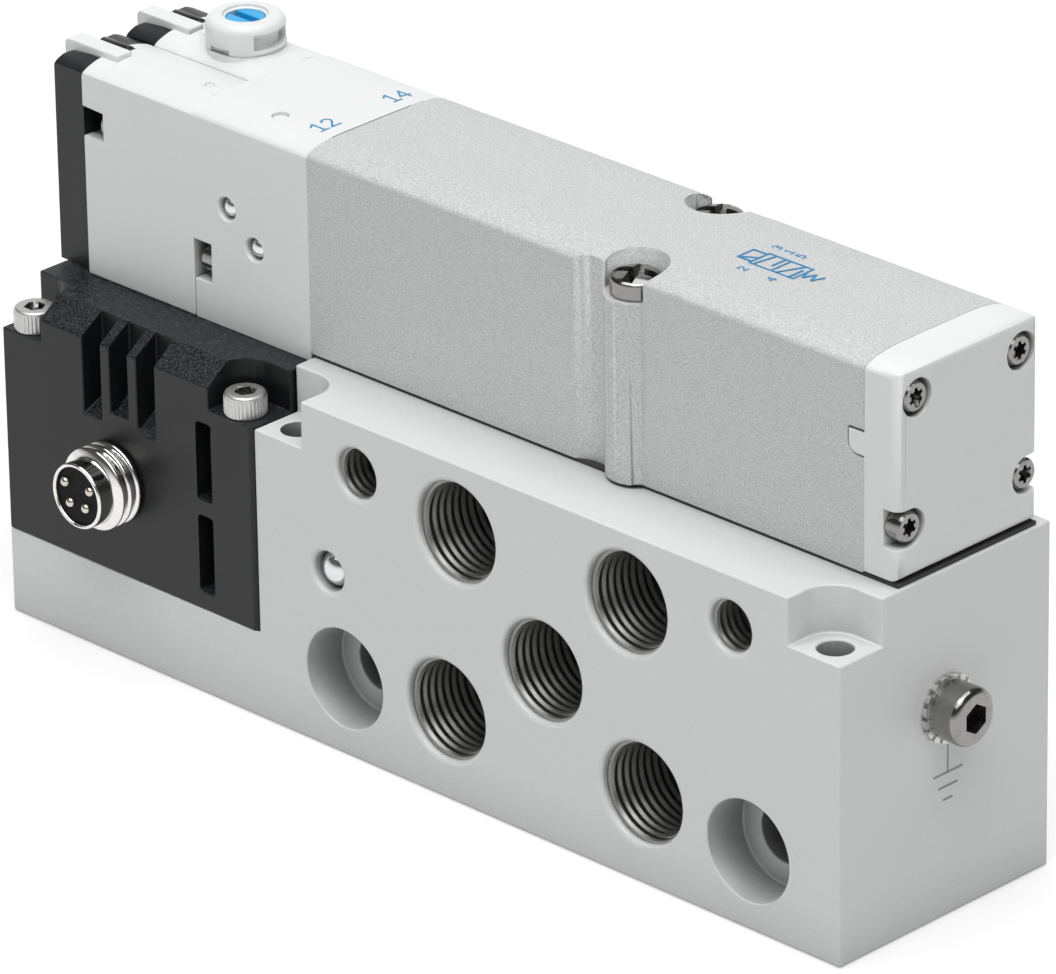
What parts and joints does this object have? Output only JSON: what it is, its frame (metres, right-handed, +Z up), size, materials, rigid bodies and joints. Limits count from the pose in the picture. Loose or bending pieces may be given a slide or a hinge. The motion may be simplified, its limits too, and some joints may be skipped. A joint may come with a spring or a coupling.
{
  "type": "pneumatic solenoid valve on a single sub-base",
  "caption": "Slim solenoid spool valve screwed on an aluminium sub-base with threaded air ports in its front face, an electrical housing with a round plug and a slotted manual override.",
  "frame": {"origin": "centre of the sub-base's underside", "axes": "+X along the length towards the ground screw, -Y out of the face with the air ports, +Z up"},
  "size_m": [0.1101, 0.0319, 0.0571],
  "materials": {
    "blasted_aluminium": "fine blasted and clear anodised",
    "bearing_steel": "polished",
    "zinc_plated_steel": "zinc plated",
    "nitrile_rubber": "matt",
    "black_nylon": "fine moulded texture",
    "nickel_plated_brass": "bright nickel plated",
    "gold_plated_contacts": "gold plated",
    "circuit_board_laminate": "solder mask",
    "cast_aluminium": "die cast and blasted",
    "turned_aluminium": "turned",
    "natural_acetal": "smooth moulded",
    "spring_steel": "drawn wire",
    "white_nylon": "fine moulded texture",
    "smoked_plastic": "glossy, smoked",
    "blue_acetal": "smooth moulded",
    "enamelled_copper": "enamelled winding",
    "magnetic_steel": "ground"
  },
  "bodies": {
    "valve": {"sub_base": "blasted_aluminium", "channel_plug": "bearing_steel", "ground_screw": "zinc_plated_steel", "ground_lock_washer": "zinc_plated_steel", "base_gasket": "nitrile_rubber", "connector_housing": "black_nylon", "housing_screws": "zinc_plated_steel", "connector_shell": "nickel_plated_brass", "connector_insert": "black_nylon", "contact_pins": "gold_plated_contacts", "circuit_board": "circuit_board_laminate", "socket_strip": "black_nylon", "valve_body": "cast_aluminium", "valve_screws": "zinc_plated_steel", "spool_seals": "nitrile_rubber", "return_spring": "spring_steel", "end_cap": "white_nylon", "end_cap_screws": "zinc_plated_steel", "end_cap_seal": "nitrile_rubber", "block_seal": "nitrile_rubber", "pilot_block": "white_nylon", "block_screws": "zinc_plated_steel", "block_balls": "bearing_steel", "pilot_housing": "white_nylon", "blank_housing": "white_nylon", "pilot_cover": "black_nylon", "blank_cover": "black_nylon", "pilot_lens": "smoked_plastic", "blank_lens": "smoked_plastic", "pilot_screws": "zinc_plated_steel", "override_cap": "white_nylon", "override_spring": "spring_steel", "coil": "enamelled_copper", "coil_core": "magnetic_steel", "armature_spring": "spring_steel", "coil_pins": "gold_plated_contacts"},
    "spool_body": {"spool": "turned_aluminium", "drive_piston": "natural_acetal", "piston_seal": "nitrile_rubber"},
    "armature_body": {"armature": "magnetic_steel"},
    "override_stem_body": {"override_stem": "natural_acetal"},
    "override_button_body": {"override_button": "blue_acetal"}
  },
  "joints": [
    {"name": "spool_slide", "type": "slide", "parent": "valve", "child": "spool_body", "axis": [1, 0, 0], "range_m": [0, 0.003], "stiffness_N_per_m": 600, "springref_m": -0.004, "deforming": ["return_spring"]},
    {"name": "override_push", "type": "slide", "parent": "valve", "child": "override_stem_body", "axis": [0, 0, -1], "range_m": [0, 0.00055], "stiffness_N_per_m": 400, "springref_m": -0.0008, "deforming": ["override_spring"]},
    {"name": "armature_slide", "type": "slide", "parent": "valve", "child": "armature_body", "axis": [0, 0, -1], "range_m": [0, 0.00055], "stiffness_N_per_m": 300, "springref_m": -0.0008, "deforming": ["armature_spring"]},
    {"name": "override_turn", "type": "hinge", "parent": "override_stem_body", "child": "override_button_body", "pos_m": [-0.0412, 0.00765, 0.05275], "axis": [0, 0, 1], "range_deg": [0, 90]}
  ],
  "couplings": [
    {"joint": "armature_slide", "follows": "override_push", "ratio": 1}
  ]
}
